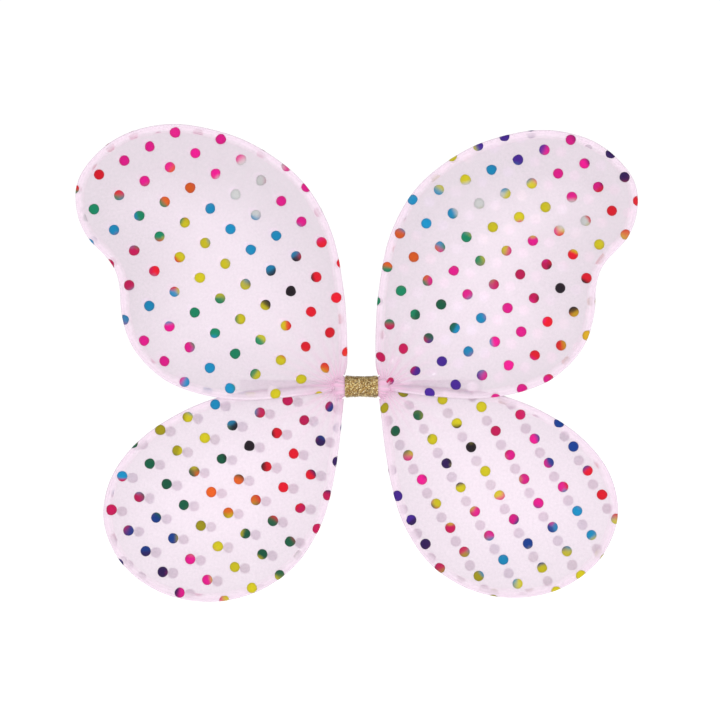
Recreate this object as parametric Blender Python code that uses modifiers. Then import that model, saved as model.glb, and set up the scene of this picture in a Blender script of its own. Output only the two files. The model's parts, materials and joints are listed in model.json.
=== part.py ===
"""Child's fairy wings: four wire-framed lobes of sheer spotted fabric, a glitter-wrapped centre and
two elastic arm loops.

+X is the viewer's right, +Z is up and -Y is the show side. The origin is the middle of the glitter
band's flat back, which lies against the wearer. Lengths are in metres, through MM.
"""

from math import cos, hypot, pi, radians, sin

import bmesh
import bpy

MM = 0.001

# Fit and stock thicknesses
GAP = 0.3 * MM
WIRE_RADIUS = 0.8 * MM
PANEL_THICKNESS = 0.45 * MM
HEM_THICKNESS = 0.5 * MM
ELASTIC_THICKNESS = 0.9 * MM
ELASTIC_WIDTH = 10 * MM

# Glitter band, a flattened sleeve that flares a little towards its open ends
BAND_LENGTH = 30 * MM
BAND_HEIGHT = 18 * MM
BAND_FLARE = 1.6 * MM
BAND_DEPTH = 13 * MM
BAND_WALL = 0.8 * MM
BAND_CORNER = 4 * MM

# Where the wings flex: one vertical line beside each end of the band
PIVOT_X = 20 * MM
PIVOT_Y = -7.3 * MM
NECK_RADIUS = 4 * MM
ROOT_CLEARANCE = 5 * MM

# The upper lobes lie in front of the lower ones
WING_HALF_THICKNESS = WIRE_RADIUS + GAP + PANEL_THICKNESS
LAYER_OFFSET = WING_HALF_THICKNESS + 0.25 * MM
EDGE_POINTS = 64

# Lobe edges in millimetres, outwards from the centre line and upwards: from beside the band, along
# the inner edge, round the tip and back to the root
UPPER_EDGE = [
    (12.5, 18), (12.3, 45), (15, 85), (25, 134), (49, 177), (89, 208.5), (130, 224), (170, 228),
    (210, 216.5), (239, 189.5), (246, 163), (238, 134), (216, 109), (209, 90), (207, 63),
    (197, 34), (172, 8), (140, -5.5), (103, -11), (65, -9), (38, -6), (26.5, -4.2),
]
LOWER_EDGE = [
    (16, -14.5), (17.5, -28), (20.5, -54), (27, -90), (38, -124), (61, -158), (96, -180.5),
    (137, -188), (178, -179.5), (211, -155), (227, -122), (226, -92), (213, -64), (186, -37),
    (147.5, -15.5), (108, -4), (65, 0.5), (38, 2.5), (26.5, 3.4),
]
# Hand-made lobes differ: growth about the flex line, and turn in degrees, tip up
LOBES = {
    "left_upper": (-1, 1, UPPER_EDGE, 1.034, -0.6),
    "right_upper": (1, 1, UPPER_EDGE, 1.004, 0),
    "left_lower": (-1, -1, LOWER_EDGE, 1.019, -0.6),
    "right_lower": (1, -1, LOWER_EDGE, 1.006, 0),
}

# Elastic arm loops, drop shaped seen from above, standing on edge behind the wings
LOOP_LENGTH = 140 * MM
LOOP_WIDTH = 60 * MM
LOOP_LEAN = radians(52)
LOOP_POINTS = 40
STRAP_ROOT_X = 17.2 * MM
STRAP_ROOT_Y = -2.1 * MM
PLY_OFFSET = 0.6 * MM
WIDEST_SHARE = 0.77  # the most that sin(t) * sin(t / 2) reaches

# Wire ends inside the centre
TAIL_LENGTH = 22 * MM
TAIL_START = 14.6 * MM
TAIL_ROW_PITCH = 1.95 * MM
TAIL_PITCH = 2.2 * MM
TAPE_LENGTH = 20 * MM
TAPE_WALL = 0.6 * MM
GATHER_WALL = 0.8 * MM
GATHER_OUTER_X = 14.4 * MM

COLOURS = {
    "fabric": ((0.93, 0.85, 0.93, 1), 0.6, 0.0),
    "wire": ((0.93, 0.9, 0.93, 1), 0.35, 0.0),
    "glitter": ((0.62, 0.43, 0.13, 1), 0.4, 0.6),
    "elastic": ((0.94, 0.93, 0.94, 1), 0.8, 0.0),
    "tape": ((0.9, 0.88, 0.86, 1), 0.7, 0.0),
}


def clear_scene():
    for obj in list(bpy.data.objects):
        bpy.data.objects.remove(obj)


def make_materials():
    for name, (colour, roughness, metallic) in COLOURS.items():
        material = bpy.data.materials.new(name)
        material.use_nodes = True
        shader = material.node_tree.nodes["Principled BSDF"]
        shader.inputs["Base Color"].default_value = colour
        shader.inputs["Roughness"].default_value = roughness
        shader.inputs["Metallic"].default_value = metallic


def finish(obj, material):
    bpy.data.collections["fairy_wings"].objects.link(obj)
    obj.data.materials.append(bpy.data.materials[material])
    return obj


# Plane curves


def smooth_path(points, steps=6):
    """A Catmull-Rom curve through all the points."""
    first = [2 * points[0][i] - points[1][i] for i in (0, 1)]
    last = [2 * points[-1][i] - points[-2][i] for i in (0, 1)]
    knots = [first, *points, last]
    path = []
    for before, start, end, after in zip(knots, knots[1:], knots[2:], knots[3:]):
        for step in range(steps):
            t = step / steps
            path.append([
                0.5 * (2 * b + (c - a) * t + (2 * a - 5 * b + 4 * c - d) * t**2
                       + (3 * b - a - 3 * c + d) * t**3)
                for a, b, c, d in zip(before, start, end, after)
            ])
    path.append(list(points[-1]))
    return path


def evenly_spaced(path, count):
    lengths = [hypot(q[0] - p[0], q[1] - p[1]) for p, q in zip(path, path[1:])]
    step = sum(lengths) / (count - 1)
    spaced, done, i = [path[0]], 0.0, 0
    for n in range(1, count - 1):
        while done + lengths[i] < n * step:
            done += lengths[i]
            i += 1
        t = (n * step - done) / lengths[i]
        spaced.append([a + (b - a) * t for a, b in zip(path[i], path[i + 1])])
    return spaced + [path[-1]]


def shifted(path, distance):
    """The path moved to its right by a distance."""
    moved = []
    for i, (x, z) in enumerate(path):
        before, after = path[max(i - 1, 0)], path[min(i + 1, len(path) - 1)]
        dx, dz = after[0] - before[0], after[1] - before[1]
        length = hypot(dx, dz)
        moved.append([x + dz / length * distance, z - dx / length * distance])
    return moved


def arc(radius, start, end, steps):
    angles = [radians(start + (end - start) * i / steps) for i in range(steps + 1)]
    return [[radius * cos(a), radius * sin(a)] for a in angles]


# Solids


def flat_plate(name, outline, thickness, location, material, upright=True):
    """A filled outline, standing in the XZ plane or lying in the XY plane."""
    curve = bpy.data.curves.new(name, "CURVE")
    curve.dimensions = "2D"
    curve.fill_mode = "BOTH"
    curve.extrude = thickness / 2
    spline = curve.splines.new("POLY")
    spline.points.add(len(outline) - 1)
    for point, (x, z) in zip(spline.points, outline):
        point.co = (x, z, 0, 1)
    spline.use_cyclic_u = True
    obj = bpy.data.objects.new(name, curve)
    obj.location = location
    if upright:
        obj.rotation_euler.x = pi / 2
    return finish(obj, material)


def bent_wire(name, path, location):
    curve = bpy.data.curves.new(name, "CURVE")
    curve.dimensions = "3D"
    curve.bevel_depth = WIRE_RADIUS
    curve.bevel_resolution = 2
    curve.use_fill_caps = True
    spline = curve.splines.new("POLY")
    spline.points.add(len(path) - 1)
    for point, (x, z) in zip(spline.points, path):
        point.co = (x, 0, z, 1)
    obj = bpy.data.objects.new(name, curve)
    obj.location = location
    return finish(obj, "wire")


def rounded_section(half_y, half_z, corner, steps=4):
    """A rounded rectangle in the YZ plane."""
    section = []
    for quarter, (sy, sz) in enumerate([(1, 1), (-1, 1), (-1, -1), (1, -1)]):
        for i in range(steps + 1):
            a = (quarter + i / steps) * pi / 2
            section.append((sy * (half_y - corner) + corner * cos(a),
                            sz * (half_z - corner) + corner * sin(a)))
    return section


def sleeve(name, stations, wall, location, material):
    """A tube along X through (x, half_y, half_z, corner, back) stations. Solidify adds the wall inwards.

    A station keeps its back at the given y, so that flaring leaves the back flat.
    """
    bm = bmesh.new()
    rings = []
    for x, half_y, half_z, corner, back in stations:
        section = rounded_section(half_y, half_z, corner)
        rings.append([bm.verts.new((x, back - half_y + y, z)) for y, z in section])
    for ring, following in zip(rings, rings[1:]):
        count = len(ring)
        for i in range(count):
            j = (i + 1) % count
            bm.faces.new((ring[i], ring[j], following[j], following[i]))
    bmesh.ops.recalc_face_normals(bm, faces=bm.faces)
    mesh = bpy.data.meshes.new(name)
    bm.to_mesh(mesh)
    bm.free()
    obj = bpy.data.objects.new(name, mesh)
    obj.location = location
    solidify = obj.modifiers.new("wall", "SOLIDIFY")
    solidify.thickness = wall
    solidify.offset = -1
    solidify.use_even_offset = True
    return finish(obj, material)


# Sub-assemblies


def lobe_edge(edge, growth, turn):
    """The lobe's outer edge about its flex line, as a right-hand lobe."""
    path = evenly_spaced(smooth_path([[x * MM - PIVOT_X, z * MM] for x, z in edge]), EDGE_POINTS)
    c, s = cos(radians(turn)), sin(radians(turn))
    return [[growth * (x * c - z * s), growth * (x * s + z * c)] for x, z in path]


def mirrored(path, side):
    return [[side * x, z] for x, z in path]


def make_lobe(name, side, up, edge, growth, turn):
    outer = lobe_edge(edge, growth, turn)
    root = arc(ROOT_CLEARANCE, -25 * up, 95 * up, 8)
    outline = mirrored(outer + root, side)
    x, y = side * PIVOT_X, PIVOT_Y - up * LAYER_OFFSET
    panel_y = WING_HALF_THICKNESS - PANEL_THICKNESS / 2
    flat_plate(name + "_front_panel", outline, PANEL_THICKNESS, (x, y - panel_y, 0), "fabric")
    flat_plate(name + "_back_panel", outline, PANEL_THICKNESS, (x, y + panel_y, 0), "fabric")

    hem_inner = shifted(outer, up * HEM_THICKNESS)
    hem = mirrored(outer + hem_inner[::-1], side)
    flat_plate(name + "_hem", hem, 2 * WIRE_RADIUS, (x, y, 0), "fabric")

    wire_line = shifted(outer, up * (HEM_THICKNESS + GAP + WIRE_RADIUS))
    inner_end = [-0.2 * MM, up * (ROOT_CLEARANCE + WIRE_RADIUS + GAP)]
    outer_end = [ROOT_CLEARANCE + WIRE_RADIUS + GAP, -0.9 * MM * up]
    line = [inner_end, [-2 * MM, 11.5 * MM * up], *wire_line[1:-1], outer_end]
    bent_wire(name + "_wire", mirrored(line, side), (x, y, 0))


def make_neck(name, side):
    """The gathered fabric neck where both lobes of one side flex against the band."""
    bpy.ops.mesh.primitive_uv_sphere_add(segments=20, ring_count=12, radius=NECK_RADIUS,
                                         location=(side * PIVOT_X, PIVOT_Y, 0))
    obj = bpy.context.object
    obj.name = obj.data.name = name
    bpy.context.collection.objects.unlink(obj)
    obj.data.shade_smooth()
    finish(obj, "fabric")


def make_centre():
    half = BAND_LENGTH / 2
    stations = []
    for i in range(7):
        x = half * (i / 3 - 1)
        flare = BAND_FLARE * (x / half) ** 2
        stations.append((x, BAND_DEPTH / 2, (BAND_HEIGHT + flare) / 2, BAND_CORNER, 0))
    sleeve("glitter_band", stations, BAND_WALL, (0, 0, 0), "glitter")

    tape_y = TAIL_ROW_PITCH / 2 + WIRE_RADIUS + GAP + TAPE_WALL
    tape_z = 1.5 * TAIL_PITCH + WIRE_RADIUS + GAP + TAPE_WALL
    ends = [-TAPE_LENGTH / 2, TAPE_LENGTH / 2]
    sleeve("core_tape", [(x, tape_y, tape_z, 1.5 * MM, tape_y) for x in ends], TAPE_WALL,
           (0, PIVOT_Y, 0), "tape")

    gather_y = tape_y + GAP + GATHER_WALL
    gather_z = tape_z + GAP + 2 * GATHER_WALL
    for side, name in ((-1, "left"), (1, "right")):
        ends = sorted([side * GAP, side * GATHER_OUTER_X])
        sleeve(name + "_gather", [(x, gather_y, gather_z, 2 * MM, gather_y) for x in ends],
               GATHER_WALL, (0, PIVOT_Y, 0), "fabric")


def make_tails():
    """Straight wire ends: the left lobes' in the front row and the right lobes' in the back row."""
    for name, (side, up, *_) in LOBES.items():
        for end, place in (("inner", 1.5), ("outer", 0.5)):
            y = PIVOT_Y + side * TAIL_ROW_PITCH / 2
            z = up * place * TAIL_PITCH
            path = [(0, 0), (-side * TAIL_LENGTH, 0)]
            bent_wire(f"{name}_{end}_wire_tail", path, (side * TAIL_START, y, z))


def loop_line():
    """The arm loop's centreline along +X from its root: out on one side, back on the other."""
    reach = LOOP_WIDTH / 2 / WIDEST_SHARE
    line = []
    for i in range(1, LOOP_POINTS):
        t = 2 * pi * i / LOOP_POINTS
        line.append([LOOP_LENGTH * (1 - cos(t)) / 2, reach * sin(t) * sin(t / 2)])
    return [[-1.2 * MM, PLY_OFFSET], [0, PLY_OFFSET], *line, [0, -PLY_OFFSET],
            [-1.2 * MM, -PLY_OFFSET]]


def make_strap(name, side):
    line = loop_line()
    strip = shifted(line, ELASTIC_THICKNESS / 2) + shifted(line, -ELASTIC_THICKNESS / 2)[::-1]
    loop = flat_plate(name + "_arm_loop", strip, ELASTIC_WIDTH,
                      (side * STRAP_ROOT_X, STRAP_ROOT_Y, 0), "elastic", upright=False)
    loop.rotation_euler.z = LOOP_LEAN if side > 0 else pi - LOOP_LEAN

    for ply, place in (("inner", -PLY_OFFSET), ("outer", PLY_OFFSET)):
        x0, x1 = sorted([side * 3 * MM, side * (BAND_LENGTH / 2 - 0.5 * MM)])
        half = ELASTIC_THICKNESS / 2
        end = [[x0, -half], [x1, -half], [x1, half], [x0, half]]
        flat_plate(f"{name}_loop_{ply}_end", end, ELASTIC_WIDTH,
                   (0, STRAP_ROOT_Y + place, 0), "elastic", upright=False)


def main():
    clear_scene()
    bpy.context.scene.collection.children.link(bpy.data.collections.new("fairy_wings"))
    make_materials()
    for name, lobe in LOBES.items():
        make_lobe(name, *lobe)
    for name, side in (("left", -1), ("right", 1)):
        make_neck(name + "_neck", side)
        make_strap(name, side)
    make_centre()
    make_tails()


main()
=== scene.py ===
"""Child's fairy wings: sheer fabric with rainbow foil dots on four wire loops, gathered into a gold
glitter band, with two elastic arm loops behind.

Everything is in metres in the frame's own axes: +X to the viewer's right, +Z up, -Y the show side.
"""

import json
import math
import random

import bmesh
import bpy
import numpy as np
from bpy.props import FloatProperty, FloatVectorProperty, IntProperty, PointerProperty
from mathutils import Euler, Matrix, Vector, noise
from mathutils.bvhtree import BVHTree
from mathutils.geometry import barycentric_transform, delaunay_2d_cdt


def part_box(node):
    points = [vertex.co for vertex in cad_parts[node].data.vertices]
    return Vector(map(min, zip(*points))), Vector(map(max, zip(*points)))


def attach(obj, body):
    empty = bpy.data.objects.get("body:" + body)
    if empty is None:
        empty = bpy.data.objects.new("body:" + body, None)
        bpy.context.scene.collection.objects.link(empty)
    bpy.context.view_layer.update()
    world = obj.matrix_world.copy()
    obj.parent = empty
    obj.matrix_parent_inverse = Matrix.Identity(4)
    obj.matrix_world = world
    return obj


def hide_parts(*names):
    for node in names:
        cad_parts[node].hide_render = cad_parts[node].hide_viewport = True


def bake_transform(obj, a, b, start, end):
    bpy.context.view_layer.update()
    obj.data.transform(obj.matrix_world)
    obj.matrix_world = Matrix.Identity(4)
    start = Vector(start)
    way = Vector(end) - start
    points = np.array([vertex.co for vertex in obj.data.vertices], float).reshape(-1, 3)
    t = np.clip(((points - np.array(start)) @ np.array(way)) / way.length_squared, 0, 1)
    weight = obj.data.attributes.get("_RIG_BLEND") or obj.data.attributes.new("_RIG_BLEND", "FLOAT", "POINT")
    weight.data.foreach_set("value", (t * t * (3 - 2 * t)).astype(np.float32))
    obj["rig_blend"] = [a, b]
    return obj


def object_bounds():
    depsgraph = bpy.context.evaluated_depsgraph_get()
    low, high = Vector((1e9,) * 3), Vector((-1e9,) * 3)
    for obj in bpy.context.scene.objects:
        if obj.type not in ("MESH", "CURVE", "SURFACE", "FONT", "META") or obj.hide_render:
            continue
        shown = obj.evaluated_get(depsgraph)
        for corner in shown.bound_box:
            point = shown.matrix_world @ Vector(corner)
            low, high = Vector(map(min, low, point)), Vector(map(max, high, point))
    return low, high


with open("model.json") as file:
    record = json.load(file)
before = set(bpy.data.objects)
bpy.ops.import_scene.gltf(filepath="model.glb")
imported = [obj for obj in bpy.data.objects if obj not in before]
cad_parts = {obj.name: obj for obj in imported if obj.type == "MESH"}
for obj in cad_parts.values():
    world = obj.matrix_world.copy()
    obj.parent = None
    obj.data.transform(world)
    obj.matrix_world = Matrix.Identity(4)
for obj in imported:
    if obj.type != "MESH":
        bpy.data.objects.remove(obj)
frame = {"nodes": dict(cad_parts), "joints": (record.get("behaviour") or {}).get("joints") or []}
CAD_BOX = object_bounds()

bl_info = {
    "name": "Fairy Wings",
    "version": (1, 0, 0),
    "blender": (4, 5, 0),
    "location": "View3D > Sidebar > Fairy Wings",
    "description": "Fabric, foil dots, glitter band and arm loops for a pair of fairy wings",
    "category": "Object",
}

MM = 0.001
WING_NAMES = ("left_upper", "right_upper", "left_lower", "right_lower")
SIDES = {"left": -1, "right": 1}
# How far the wire's line runs inside the cloth's outer edge
WIRE_INSET = 1.6 * MM
# Cloth nearer than this to the flex line belongs to the gathered root
ROOT_REACH = 5.8 * MM
# The back layer's root is bunched too tightly to carry a dot
BARE_ROOT = 17 * MM
# The gathered end of the cloth round the flex line, as degrees from outwards and millimetres away
ROOT_BEND = ((-28, 4.8), (10, 4.5), (50, 4.4), (88, 5.6), (112, 8.6))
# How the cloth behaves while it settles: light, taut and limp
CLOTH_FEEL = {
    "quality": 5,
    "mass": 0.03,
    "tension_stiffness": 12,
    "compression_stiffness": 6,
    "shear_stiffness": 4,
    "bending_stiffness": 0.02,
}
SETTLING_GRAVITY = 0.12
# How well the cloth covers what is behind it, on the wings and where it is bunched at the neck
WING_COVER = 0.46
NECK_COVER = 0.56
# Painted light and shade on the open cloth: its tone in the middle, painted lighter, and near its hem,
# painted darker, against the cloth's own colour
UPPER_PAINTED_SHADING = (0.98, 0.80)
LOWER_PAINTED_SHADING = (1.05, 0.89)
NECK_PAINTED_SHADING = (1.0, 0.9)
HEM_TONE = (0.93, 0.79, 0.895)
# How far each arm loop is turned back from pointing straight outwards
STRAP_LEAN = math.radians(52)
# The surround's strength as it shines on the wings and as it is seen
SURROUND_SHINE = 0.72
SURROUND_SEEN = 1.06
CAMERA_AIM = (-1.3 * MM, 23.7 * MM)
# Soft lamps: place, size and watts
LAMPS = {
    "key": ((-1.1, -1.7, 1.5), 1.4, 11),
    "fill": ((1.5, -1.6, 0.5), 1.6, 5),
    "low": ((0.2, -1.4, -0.1), 1.0, 3),
}
# Farther than any point of a wing is from its flex line
WING_REACH = 0.33
# Steps each way in which a wing's dot lattice is laid, enough to cover the wing
LATTICE_STEPS = 16
# Within a dot the foil's colours turn this many times faster than from dot to dot
DOT_TURN = 1.9
# The neck's pleated cloth: half its height at the band, what its far end adds, and half its depth
NECK_HEIGHT = 7.6 * MM
NECK_SPREAD = 9.5 * MM
NECK_HALF_DEPTH = 4.5 * MM
# Angle from the front beyond which the band lies flat against the wearer
BAND_BACK = 2.4
# Colours of loose glitter and how often each is picked
FLAKE_SHADES = {
    (104, 72, 30): 5,
    (140, 104, 46): 7,
    (176, 138, 66): 7,
    (205, 172, 96): 5,
    (236, 216, 150): 3,
    (252, 244, 214): 2,
}
# The elastic's section, as heights and thicknesses against half its width and half its thickness
ELASTIC_SECTION = ((-1, 0), (-0.94, 0.8), (-0.5, 1), (0, 1), (0.5, 1), (0.94, 0.8),
                   (1, 0), (0.94, -0.8), (0.5, -1), (0, -1), (-0.5, -1), (-0.94, -0.8))


def srgb(red, green, blue):
    """A colour as it is mixed on a screen, 0 to 255, as linear light."""
    return tuple(
        c / 12.92 if c <= 0.04045 else ((c + 0.055) / 1.055) ** 2.4
        for c in (red / 255, green / 255, blue / 255)
    )


# What the foil flashes, by a maker's names
FOIL = {
    "magenta": srgb(228, 0, 138),
    "crimson": srgb(196, 0, 82),
    "red": srgb(226, 0, 34),
    "orange": srgb(228, 92, 20),
    "gold": srgb(206, 160, 20),
    "yellow": srgb(208, 194, 16),
    "olive": srgb(158, 146, 6),
    "green": srgb(0, 132, 92),
    "forest": srgb(0, 88, 60),
    "blue": srgb(0, 138, 190),
    "navy": srgb(0, 56, 140),
    "violet": srgb(66, 24, 146),
    "plum": srgb(44, 8, 84),
    "black": srgb(20, 6, 20),
    "silver": srgb(206, 206, 206),
}

# The foil's bonded side as it shows through the cloth: its colour, how much of the foil's own colour comes
# through, and a painted glow that lifts it where it lies in shade behind the cloth
UNDERSIDES = {
    # Painted light: pale is the grey backing painted lighter, as lit from above, for the upper wings
    "pale": ((0.97, 0.96, 0.98), 0.03, 0.55),
    "grey": (srgb(196, 190, 198), 0.05, 0.2),
    "tinted": ((0.92, 0.88, 0.92), 0.62, 0.0),
}

# Where the light turns each wing's foil, in millimetres outwards from the centre line and upwards
FOIL_POOLS = {
    "left_upper": [
        ("magenta", 135, 205), ("magenta", 200, 200), ("red", 235, 190), ("orange", 160, 175),
        ("green", 240, 155), ("blue", 225, 140), ("green", 185, 150), ("blue", 120, 150),
        ("magenta", 60, 155), ("yellow", 160, 130), ("crimson", 210, 115), ("red", 175, 110),
        ("blue", 80, 125), ("yellow", 140, 95), ("black", 60, 90), ("red", 35, 95),
        ("red", 50, 55), ("green", 140, 60), ("blue", 180, 70), ("magenta", 175, 40), ("silver", 110, 172),
        ("yellow", 90, 55), ("green", 110, 30), ("blue", 135, 15), ("yellow", 75, 5),
    ],
    "right_upper": [
        ("violet", 130, 215), ("plum", 220, 205), ("magenta", 190, 190), ("yellow", 95, 195),
        ("blue", 115, 190), ("red", 215, 160), ("yellow", 150, 155), ("blue", 65, 150),
        ("yellow", 115, 140), ("green", 95, 130), ("yellow", 200, 135), ("magenta", 150, 130),
        ("red", 190, 115), ("orange", 40, 115), ("crimson", 155, 95), ("black", 175, 90),
        ("magenta", 75, 95), ("green", 35, 85), ("blue", 100, 50), ("forest", 65, 70),
        ("magenta", 135, 55), ("red", 165, 45), ("gold", 195, 50), ("violet", 60, 15),
        ("crimson", 35, 30), ("magenta", 140, 10), ("silver", 105, 165), ("silver", 195, 148),
    ],
    "left_lower": [
        ("crimson", 55, -15), ("navy", 20, -40), ("blue", 125, -20), ("olive", 170, -45),
        ("yellow", 145, -50), ("black", 100, -55), ("red", 70, -50), ("blue", 215, -80),
        ("forest", 185, -70), ("forest", 125, -65), ("plum", 30, -65), ("red", 60, -90),
        ("crimson", 215, -100), ("forest", 165, -100), ("orange", 130, -95), ("crimson", 40, -110),
        ("navy", 185, -125), ("olive", 140, -125), ("yellow", 120, -140), ("forest", 90, -145),
        ("plum", 180, -165), ("magenta", 145, -170), ("yellow", 105, -165),
    ],
    "right_lower": [
        ("olive", 20, -20), ("forest", 40, -35), ("yellow", 95, -25), ("crimson", 130, -40),
        ("navy", 180, -50), ("yellow", 60, -50), ("black", 95, -55), ("magenta", 150, -60),
        ("plum", 75, -70), ("yellow", 105, -75), ("red", 210, -90), ("magenta", 55, -85),
        ("violet", 35, -105), ("yellow", 80, -100), ("magenta", 165, -95), ("plum", 50, -125),
        ("crimson", 80, -130), ("magenta", 125, -125), ("blue", 190, -120), ("navy", 150, -140),
        ("yellow", 210, -155), ("blue", 125, -155), ("yellow", 160, -165), ("olive", 105, -170),
    ],
}

# The dots' lattice on each wing, as placed when the cloth was stretched: one dot and the two steps
# from it to its neighbours, in millimetres outwards and upwards, and the back layer's shift
LATTICES = {
    "left_upper": ((188.7, 214.0), (-18.0, -18.4), (22.6, -12.5), (2.7, 2.7)),
    "right_upper": ((186.6, 220.0), (12.2, -21.1), (-23.5, -8.9), (-8.5, -10.5)),
    "left_lower": ((66.1, -11.7), (-15.2, -18.5), (24.6, -11.4), (-9.0, -1.5)),
    "right_lower": ((107.2, -18.1), (12.7, -21.5), (-22.0, -14.5), (5.0, -12.5)),
}


# Settings


class FabricSettings(bpy.types.PropertyGroup):
    """The sheer cloth and how it is held."""

    pitch: FloatProperty(name="Mesh pitch", description="Spacing of the cloth's mesh away from the root",
                         default=5.5 * MM, unit="LENGTH")
    billow: FloatProperty(name="Billow", description="How far the outer faces stand out",
                          default=2.6 * MM, unit="LENGTH")
    pleat: FloatProperty(name="Pleat depth", description="Depth of the gathers at the root",
                         default=0.9 * MM, unit="LENGTH")
    turn_in: FloatProperty(name="Turn-in", description="Width of the hem folded behind the wire",
                           default=5.6 * MM, unit="LENGTH")
    roll: FloatProperty(name="Hem roll", description="Radius at which cloth wraps the wire",
                        default=1.4 * MM, unit="LENGTH")
    steps: IntProperty(name="Cloth steps", description="Frames of cloth simulation for each face",
                       default=16)
    tint: FloatVectorProperty(name="Cloth", description="Colour of the open cloth", subtype="COLOR",
                              default=(0.765, 0.64, 0.74))
    blush: FloatVectorProperty(name="Blush", description="Colour where the cloth is gathered",
                               subtype="COLOR", default=(0.80, 0.48, 0.66))


class FoilSettings(bpy.types.PropertyGroup):
    """The foil dots bonded to the cloth."""

    radius: FloatProperty(name="Dot radius", description="Radius of a foil dot",
                          default=4.65 * MM, unit="LENGTH")
    film: FloatProperty(name="Film thickness", description="Thickness of the foil and its bond",
                        default=0.12 * MM, unit="LENGTH")
    sides: IntProperty(name="Sides", description="Corners round each dot", default=20)


class BandSettings(bpy.types.PropertyGroup):
    """The glitter band round the centre."""

    flakes: IntProperty(name="Flakes", description="Loose glitter flakes on the band", default=1500)
    flake: FloatProperty(name="Flake size", description="Radius of one flake",
                         default=0.42 * MM, unit="LENGTH")
    gold: FloatVectorProperty(name="Gold", description="Main glitter colour", subtype="COLOR",
                              default=srgb(176, 140, 72))


class StrapSettings(bpy.types.PropertyGroup):
    """The elastic arm loops."""

    length: FloatProperty(name="Reach", description="How far each loop stands out",
                          default=140 * MM, unit="LENGTH")
    width: FloatProperty(name="Opening", description="Width of each loop", default=60 * MM,
                         unit="LENGTH")
    ribs: IntProperty(name="Ribs", description="Ribs across the elastic", default=9)


class StageSettings(bpy.types.PropertyGroup):
    """The studio."""

    distance: FloatProperty(name="Camera distance", description="From the wings", default=2.2,
                            unit="LENGTH")
    view_width: FloatProperty(name="View width", description="Width seen at the wings",
                              default=0.645, unit="LENGTH")


# Shaders


class Signal:
    """A node socket with arithmetic: an expression on values adds its Math nodes."""

    def __init__(self, finish, socket):
        self.finish = finish
        self.socket = socket

    def _maths(self, operation, *values):
        return self.finish.out("ShaderNodeMath", {"operation": operation},
                               dict(enumerate(values)))

    def __add__(self, other):
        return self._maths("ADD", self, other)

    def __sub__(self, other):
        return self._maths("SUBTRACT", self, other)

    def __rsub__(self, other):
        return self._maths("SUBTRACT", other, self)

    def __mul__(self, other):
        return self._maths("MULTIPLY", self, other)

    def __pow__(self, other):
        return self._maths("POWER", self, other)

    def sine(self):
        return self._maths("SINE", self)

    def clamped(self):
        return self.finish.out("ShaderNodeClamp", {}, {"Value": self})

    __radd__ = __add__
    __rmul__ = __mul__


class Finish:
    """A material with one Principled shader."""

    def __init__(self, name, **constants):
        self.material = bpy.data.materials.new(name)
        self.material.use_nodes = True
        self.tree = self.material.node_tree
        self.shader = self.tree.nodes["Principled BSDF"]
        for socket, value in constants.items():
            self.shader.inputs[socket.replace("_", " ")].default_value = value

    def add(self, kind, settings, sockets):
        """A node with its settings made first and then its sockets' values or links."""
        node = self.tree.nodes.new(kind)
        for name, value in settings.items():
            if name == "stops":
                self._stops(node.color_ramp, value)
            else:
                setattr(node, name, value)
        for key, value in sockets.items():
            if isinstance(value, Signal):
                self.tree.links.new(value.socket, node.inputs[key])
            else:
                node.inputs[key].default_value = value
        return node

    @staticmethod
    def _stops(ramp, stops):
        while len(ramp.elements) < len(stops):
            ramp.elements.new(1)
        for element, (place, colour) in zip(ramp.elements, stops):
            element.position = place
            element.color = (*colour, 1)

    def out(self, kind, settings, sockets, output=0):
        return Signal(self, self.add(kind, settings, sockets).outputs[output])

    def attribute(self, name, output="Fac"):
        return self.out("ShaderNodeAttribute", {"attribute_name": name}, {}, output)

    def place(self):
        return self.out("ShaderNodeTexCoord", {}, {}, "Object")

    def noise(self, place, scale, detail=3.0, roughness=0.55):
        sockets = {"Vector": place, "Scale": scale, "Detail": detail, "Roughness": roughness}
        return self.out("ShaderNodeTexNoise", {}, sockets)

    def ramp(self, value, stops):
        return self.out("ShaderNodeValToRGB", {"stops": stops}, {"Fac": value})

    def mix(self, factor, first, second, blend="MIX"):
        settings = {"data_type": "RGBA", "blend_type": blend}
        first, second = (c if isinstance(c, Signal) else (*c, 1) for c in (first, second))
        return self.out("ShaderNodeMix", settings, {0: factor, 6: first, 7: second}, 2)

    def stretch(self, value, low, high, start=0.0, end=1.0):
        """value from low..high taken to start..end, and held there."""
        return self.out("ShaderNodeMapRange", {}, {0: value, 1: low, 2: high, 3: start, 4: end})

    def feed(self, **links):
        for socket, value in links.items():
            self.tree.links.new(value.socket, self.shader.inputs[socket.replace("_", " ")])
        return self.material

    def bump(self, height, strength, distance):
        sockets = {"Height": height, "Strength": strength, "Distance": distance}
        return self.out("ShaderNodeBump", {}, sockets)


def weave_of(finish, pitch):
    """Crossing threads in the cloth's own flat measure: 0 in the holes and 1 on the threads."""
    flat = finish.out("ShaderNodeUVMap", {"uv_map": "flat"}, {})
    split = finish.add("ShaderNodeSeparateXYZ", {}, {0: flat})
    turns = 2 * math.pi / pitch
    warp = (Signal(finish, split.outputs[0]) * turns).sine()
    weft = (Signal(finish, split.outputs[1]) * turns).sine()
    return (warp * weft) * 0.5 + 0.5


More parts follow.
